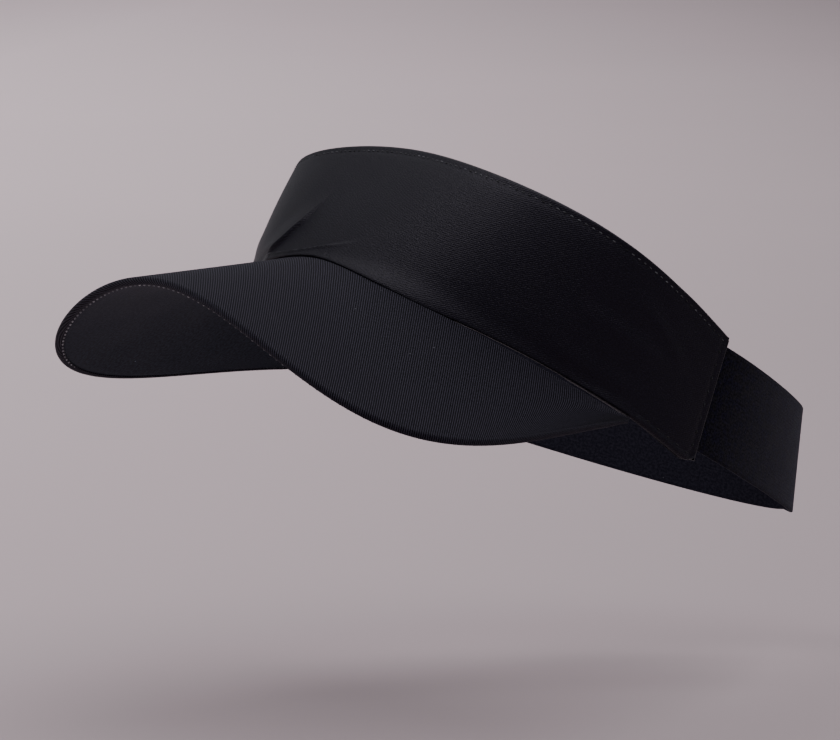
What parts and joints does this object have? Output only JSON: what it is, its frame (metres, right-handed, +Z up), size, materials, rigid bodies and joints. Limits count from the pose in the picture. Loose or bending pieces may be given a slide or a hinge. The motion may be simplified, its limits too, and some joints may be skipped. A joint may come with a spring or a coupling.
{
  "type": "sun visor",
  "caption": "Black open-crown sun visor: a fabric band with a curved stiff bill in front and an elastic strap that stretches behind the head.",
  "frame": {"origin": "middle of the head opening at the height of the band's lower edge at the temples", "axes": "+Z up as worn on an upright head, -Y the way the wearer faces, +X the wearer's left"},
  "size_m": [0.1852, 0.2366, 0.1209],
  "materials": {
    "crown_satin": "black satin-faced stretch weave, soft sheen",
    "lining_cloth": "plain matte black cloth",
    "interlining_felt": "off-white non-woven, inside",
    "sweatband_terry": "matte black terry",
    "binding_tape": "black tape",
    "bill_twill": "black fine twill, matte",
    "bill_board_plastic": "flexible plastic board, inside",
    "strap_elastic": "bluish black knitted elastic, matte",
    "dark_thread": "black sewing thread",
    "pale_thread": "grey sewing thread"
  },
  "bodies": {
    "visor": {"bill_board": "bill_board_plastic", "bill_rim": "bill_twill", "bill_seam_tape": "binding_tape", "bill_under_cover": "lining_cloth", "bill_upper_cover": "bill_twill", "crown_end_turn_in_left": "crown_satin", "crown_end_turn_in_right": "crown_satin", "crown_interlining": "interlining_felt", "crown_lining": "lining_cloth", "crown_outer_panel": "crown_satin", "strap_leg_left": "strap_elastic", "strap_leg_right": "strap_elastic", "sweatband": "sweatband_terry", "sweatband_binding": "binding_tape", "thread_bill_edge": "pale_thread", "thread_end_left": "dark_thread", "thread_end_right": "dark_thread", "thread_hem_left": "dark_thread", "thread_hem_right": "dark_thread", "thread_sweatband": "dark_thread", "thread_top_edge": "dark_thread"},
    "strap": {"strap_back": "strap_elastic"}
  },
  "joints": [
    {"name": "strap_stretch", "type": "slide", "parent": "visor", "child": "strap", "axis": [0, 0.9342, -0.3567], "range_m": [0, 0.025], "stiffness_N_per_m": 150, "deforming": ["strap_leg_left", "strap_leg_right"]}
  ]
}
